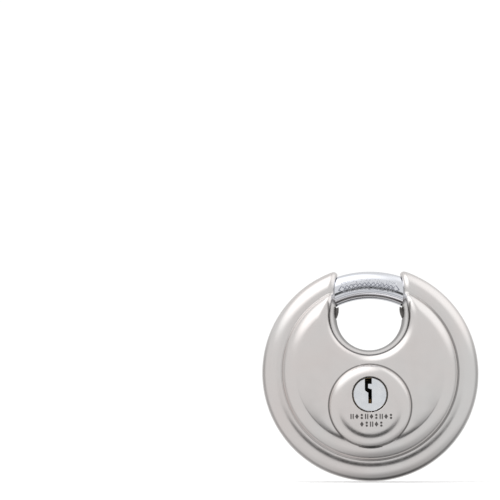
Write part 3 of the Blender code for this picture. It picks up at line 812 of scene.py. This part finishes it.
def nickel():
    """The plug's satin nickel face, and painted shade on its sides and in its keyway, with a dim brass tint painted
    low in the keyway.
    """
    material, tree, shader = new_material("satin nickel", (0.90, 0.93, 0.97), 0.25)
    coords = tree.nodes.new("ShaderNodeTexCoord")
    parts = tree.nodes.new("ShaderNodeSeparateXYZ")
    tree.links.new(coords.outputs["Object"], parts.inputs[0])
    front = PLUG_BOX[0][1] - frame["nodes"]["plug"].matrix_world.translation.y
    # Painted shade: below the front face the plug's sides and keyway go near-black, and low in the keyway a dim
    # brass tint.
    deep = ramp(tree, parts.outputs["Y"], front + 0.00018, front + 0.0004)
    cloud = spread(tree, noise(tree, 260, 4), 0.0, 1.0)
    plain_colour = mix(tree, cloud, (0.86, 0.90, 0.95), (0.94, 0.96, 0.99))
    slot_top = (PLUG_DROP - 0.7) * MM - frame["nodes"]["plug"].matrix_world.translation.z
    low = ramp(tree, parts.outputs["Z"], slot_top, slot_top - 0.0003)
    lower = both(tree, low, near(tree, parts.outputs["X"], 0.0, 0.0008, 0.0002))
    keyway_shade = mix(tree, lower, (0.012, 0.011, 0.010), (0.36, 0.29, 0.22))
    tree.links.new(mix(tree, deep, plain_colour, keyway_shade), shader.inputs["Base Color"])
    tree.links.new(spread(tree, noise(tree, 600, 4), 0.2, 0.32), shader.inputs["Roughness"])
    bumps(tree, shader, [(noise(tree, 1800, 2, (1, 1, 0.06)), 0.0000004)])
    return material


def dark_steel():
    """Hardened steel with its dark heat-treated skin."""
    material, tree, shader = new_material("hardened steel", (0.2, 0.195, 0.19), 0.4)
    mottle = spread(tree, noise(tree, 800, 5), 0.0, 1.0)
    tree.links.new(mix(tree, mottle, (0.12, 0.115, 0.11), (0.27, 0.26, 0.25)), shader.inputs["Base Color"])
    tree.links.new(spread(tree, noise(tree, 1500, 4), 0.32, 0.5), shader.inputs["Roughness"])
    bumps(tree, shader, [(noise(tree, 3000, 3), 0.000004)])
    return material


def brass():
    """Machined brass with fine turning marks and slight tarnish."""
    material, tree, shader = new_material("machined brass", (0.76, 0.58, 0.30), 0.3)
    tarnish = spread(tree, noise(tree, 400, 5), 0.0, 1.0)
    tree.links.new(mix(tree, tarnish, (0.78, 0.60, 0.32), (0.58, 0.41, 0.20)), shader.inputs["Base Color"])
    tree.links.new(spread(tree, noise(tree, 1200, 4), 0.24, 0.42), shader.inputs["Roughness"])
    bumps(tree, shader, [(noise(tree, 2600, 2, (0.15, 1, 0.15)), 0.000003)])
    return material


def cast_zinc():
    """Cast zinc alloy with a pebbled skin."""
    material, tree, shader = new_material("cast zinc", (0.45, 0.46, 0.48), 0.5)
    tone = spread(tree, noise(tree, 300, 5), 0.0, 1.0)
    tree.links.new(mix(tree, tone, (0.38, 0.39, 0.41), (0.52, 0.53, 0.55)), shader.inputs["Base Color"])
    tree.links.new(spread(tree, noise(tree, 900, 4), 0.42, 0.62), shader.inputs["Roughness"])
    bumps(tree, shader, [(noise(tree, 1800, 4), 0.00002)])
    return material


def spring_wire():
    """Drawn spring wire with faint lengthwise scoring."""
    material, tree, shader = new_material("spring wire", (0.62, 0.62, 0.64), 0.25)
    tree.links.new(spread(tree, noise(tree, 2500, 3), 0.18, 0.34), shader.inputs["Roughness"])
    bumps(tree, shader, [(noise(tree, 6000, 2), 0.000002)])
    return material


# ---------------------------------------------------------------- what the frame's own nodes look like


def dress_frame(metals):
    """Gives each CAD node that still shows its metal, and takes the hard edges off."""
    by_slot = {entry["node"]: entry["material_slot"] for entry in frame["record"]["subparts"]}
    for name, obj in frame["nodes"].items():
        if name in ("front_shell", "rear_shell", "shackle"):
            continue
        for slot in obj.material_slots:
            slot.material = metals[by_slot[name]]
        if name == "plug":
            continue
        bevel = obj.modifiers.new("edges", "BEVEL")
        bevel.width = 0.06 * MM
        bevel.segments = 2
        bevel.limit_method = "ANGLE"
        bevel.angle_limit = radians(40)


# ---------------------------------------------------------------- studio


def build_floor():
    """A pale floor that fades into the white of the studio."""
    mesh = bpy.data.meshes.new("floor")
    work = bmesh.new()
    bmesh.ops.create_circle(work, cap_ends=True, radius=3.0, segments=96)
    work.to_mesh(mesh)
    work.free()
    floor = add_object("floor", mesh, Matrix.Translation((0, 0, FLOOR)))
    material, _, shader = new_material("floor", (0.96, 0.96, 0.96), 0.9, 0.0)
    shader.inputs["Specular IOR Level"].default_value = 0.0
    give(floor, material)
    floor.visible_glossy = False


def direction_patch(tree, direction, towards, inner, outer, strength):
    """Light on the tent around one direction, full within inner degrees and gone past outer degrees."""
    dot = tree.nodes.new("ShaderNodeVectorMath")
    dot.operation = "DOT_PRODUCT"
    dot.inputs[1].default_value = Vector(towards).normalized()
    tree.links.new(direction, dot.inputs[0])
    return ramp(tree, dot.outputs["Value"], cos(radians(outer)), cos(radians(inner)), strength)


def dark_band(tree, direction, angles, depths, strength):
    """A band round the front axis, only where the direction points down far enough."""
    parts = tree.nodes.new("ShaderNodeSeparateXYZ")
    tree.links.new(direction, parts.inputs[0])
    front = calc(tree, "MULTIPLY", parts.outputs["Y"], -1.0)
    down = calc(tree, "MULTIPLY", parts.outputs["Z"], -1.0)
    begins, full, fades, ends = (cos(radians(angle)) for angle in angles)
    within = calc(tree, "MULTIPLY", ramp(tree, front, ends, fades), ramp(tree, front, begins, full))
    return calc(tree, "MULTIPLY", within, ramp(tree, down, *depths, strength))


def build_tent():
    """A tent that only reflections see: what the polished and satin metal mirrors."""
    mesh = bpy.data.meshes.new("tent")
    work = bmesh.new()
    bmesh.ops.create_uvsphere(work, u_segments=64, v_segments=32, radius=2.0)
    work.to_mesh(mesh)
    work.free()
    tent = add_object("tent", mesh, Matrix.Translation((0, SEAM_Y, 0)))
    material = bpy.data.materials.new("tent")
    material.use_nodes = True
    tree = material.node_tree
    tree.nodes.clear()
    coords = tree.nodes.new("ShaderNodeTexCoord")
    unit = tree.nodes.new("ShaderNodeVectorMath")
    unit.operation = "NORMALIZE"
    tree.links.new(coords.outputs["Object"], unit.inputs[0])
    base = tree.nodes.new("ShaderNodeValue")
    base.outputs["Value"].default_value = TENT_BASE
    total = base.outputs["Value"]
    direction = unit.outputs["Vector"]
    for towards, inner, outer, strength in TENT_LIGHTS:
        total = calc(tree, "ADD", total, direction_patch(tree, direction, towards, inner, outer, strength))
    for angles, depths, strength in TENT_BANDS:
        total = calc(tree, "ADD", total, dark_band(tree, direction, angles, depths, strength))
    floor_level = tree.nodes.new("ShaderNodeMath")
    floor_level.operation = "MAXIMUM"
    floor_level.inputs[1].default_value = 0.05
    tree.links.new(total, floor_level.inputs[0])
    glow = tree.nodes.new("ShaderNodeEmission")
    glow.inputs["Color"].default_value = (1.0, 0.99, 0.985, 1.0)
    out = tree.nodes.new("ShaderNodeOutputMaterial")
    tree.links.new(floor_level.outputs["Value"], glow.inputs["Strength"])
    tree.links.new(glow.outputs["Emission"], out.inputs["Surface"])
    give(tent, material)
    tent.visible_camera = False
    tent.visible_diffuse = False
    tent.visible_transmission = False
    tent.visible_shadow = False
    tent.visible_volume_scatter = False


def build_lights():
    """Soft even daylight from the world, and one large softbox from above."""
    world = bpy.data.worlds.new("studio")
    bpy.context.scene.world = world
    world.use_nodes = True
    background = world.node_tree.nodes["Background"]
    background.inputs["Color"].default_value = (1.0, 1.0, 1.0, 1.0)
    background.inputs["Strength"].default_value = 1.05
    lamp = bpy.data.lights.new("softbox", "AREA")
    lamp.shape = "RECTANGLE"
    lamp.size = 1.2
    lamp.size_y = 0.9
    lamp.energy = 6.0
    softbox = bpy.data.objects.new("softbox", lamp)
    bpy.context.collection.objects.link(softbox)
    softbox.location = (-0.5, -0.7, 1.1)
    softbox.rotation_euler = (-softbox.location).to_track_quat("-Z", "Y").to_euler()
    softbox.visible_camera = False
    softbox.visible_glossy = False


def build_camera():
    """A long lens a little below the lock's middle, turned so that the disc sits at the lower right."""
    focal = DISC_SIZE / (BODY_RADIUS * MM) * CAMERA_DISTANCE
    lens = bpy.data.cameras.new("camera")
    lens.sensor_width = 36.0
    lens.lens = focal * lens.sensor_width
    lens.clip_start = 0.01
    camera = bpy.data.objects.new("camera", lens)
    bpy.context.collection.objects.link(camera)
    rise = radians(CAMERA_ELEVATION)
    centre = Vector((0, SEAM_Y, 0))
    camera.location = centre + CAMERA_DISTANCE * Vector((0, -cos(rise), sin(rise)))
    across, upward = DISC_AT[0] / focal, DISC_AT[1] / focal
    forward = (centre - camera.location).normalized()
    aim = forward
    for _ in range(6):
        turn = aim.to_track_quat("-Z", "Y")
        ray = (turn @ Vector((across, upward, -1))).normalized()
        aim = (ray.rotation_difference(forward) @ aim).normalized()
    camera.rotation_mode = "QUATERNION"
    camera.rotation_quaternion = aim.to_track_quat("-Z", "Y")
    bpy.context.scene.camera = camera
    bpy.context.scene.view_settings.view_transform = "Standard"


METALS = {
    "plated_steel": chrome(),
    "plug_nickel": nickel(),
    "hardened_steel": dark_steel(),
    "brass": brass(),
    "cast_zinc": cast_zinc(),
    "spring_steel": spring_wire(),
}
build_shells()
build_shackle(METALS["plated_steel"])
dress_frame(METALS)
build_floor()
build_tent()
build_lights()
build_camera()
